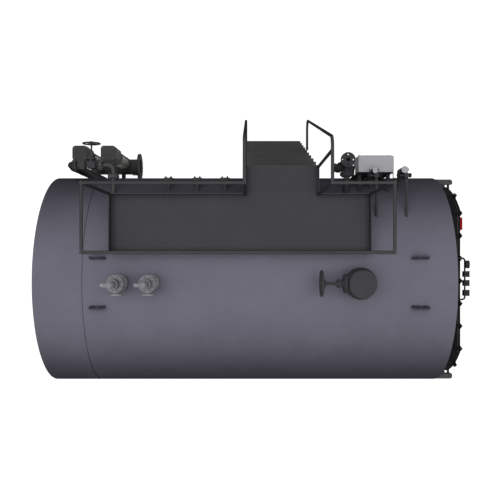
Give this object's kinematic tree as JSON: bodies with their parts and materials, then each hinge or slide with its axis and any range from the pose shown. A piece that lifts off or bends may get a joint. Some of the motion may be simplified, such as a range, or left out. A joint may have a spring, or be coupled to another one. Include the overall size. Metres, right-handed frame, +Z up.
{
  "type": "industrial fire-tube boiler",
  "caption": "Horizontal cylindrical industrial boiler on a skid, with a top platform, ship stair, valves, feed pumps and a two-leaf smoke box door.",
  "frame": {"origin": "on the ground under the boiler axis, on the underside of the middle cross member", "axes": "+X towards the firing end, +Y towards the side with platform and stair, +Z up"},
  "size_m": [4.078, 2.6959, 3.59],
  "materials": {
    "casing": "satin paint on sheet casing",
    "furnace_steel": "heat-darkened steel",
    "smokebox_black": "matt heat-proof black",
    "bright_steel": "plain steel",
    "bracket_grey": "satin paint",
    "instrument_dark": "satin dark grey",
    "red_paint": "satin red",
    "lug_paint": "satin dark grey",
    "skid_paint": "satin dark grey",
    "deck_paint": "matt dark grey",
    "rail_paint": "satin dark grey",
    "pipe_paint": "satin dark grey",
    "valve_iron": "painted casting",
    "wheel_iron": "painted casting",
    "safety_grey": "light grey casting",
    "pump_metal": "satin grey",
    "cabinet_grey": "light grey sheet steel",
    "gauge_metal": "dull fittings"
  },
  "bodies": {
    "boiler": {"angle_valve": "valve_iron", "base_beams": "skid_paint", "base_cross_members": "skid_paint", "blind_nozzles": "pipe_paint", "burner_port": "furnace_steel", "cabinet_arms": "bracket_grey", "control_cabinet": "cabinet_grey", "door_studs": "bright_steel", "feed_check_valve": "valve_iron", "feed_pipe": "pipe_paint", "feed_riser": "pipe_paint", "feed_stop_valve": "valve_iron", "front_end_plate": "casing", "furnace_tube": "furnace_steel", "guard_rail_east": "rail_paint", "guard_rail_north": "rail_paint", "guard_rail_south": "rail_paint", "guard_rail_west": "rail_paint", "hinge_brackets": "bracket_grey", "instrument_rail": "instrument_dark", "landing_deck": "deck_paint", "level_gauge_front": "gauge_metal", "level_gauge_rear": "gauge_metal", "lifting_lugs": "lug_paint", "main_cladding": "casing", "platform_brackets": "deck_paint", "platform_deck": "deck_paint", "pressure_gauge": "instrument_dark", "pump_front": "pump_metal", "pump_rear": "pump_metal", "rear_access_door": "smokebox_black", "rear_cladding": "casing", "rear_end_plate": "casing", "rear_flue_outlet": "smokebox_black", "saddles": "skid_paint", "safety_valves": "safety_grey", "smokebox_wrapper": "smokebox_black", "stair_rails": "rail_paint", "stair_stringers": "deck_paint", "stair_treads": "deck_paint", "steam_valve_body": "valve_iron", "suction_manifold": "pipe_paint", "toe_boards": "deck_paint", "top_nozzles": "pipe_paint", "tube_nest": "furnace_steel", "tube_plate": "furnace_steel"},
    "door_north_leaf": {"door_north": "smokebox_black", "red_box": "red_paint"},
    "door_south_leaf": {"door_south": "smokebox_black"},
    "steam_wheel": {"steam_handwheel": "wheel_iron"},
    "feed_wheel": {"feed_handwheel": "wheel_iron"}
  },
  "joints": [
    {"name": "door_north_swing", "type": "hinge", "parent": "boiler", "child": "door_north_leaf", "pos_m": [2.018, 0.985, 1.39], "axis": [0, 0, 1], "range_deg": [0, 100]},
    {"name": "door_south_swing", "type": "hinge", "parent": "boiler", "child": "door_south_leaf", "pos_m": [2.018, -0.985, 1.39], "axis": [0, 0, -1], "range_deg": [0, 100]},
    {"name": "steam_wheel_turn", "type": "hinge", "parent": "boiler", "child": "steam_wheel", "pos_m": [0.625, 0, 2.613], "axis": [1, 0, 0], "range_deg": [0, 1620]},
    {"name": "feed_wheel_turn", "type": "hinge", "parent": "boiler", "child": "feed_wheel", "pos_m": [-1.514, 1.31, 2.035], "axis": [0, 1, 0], "range_deg": [0, 1620]}
  ]
}
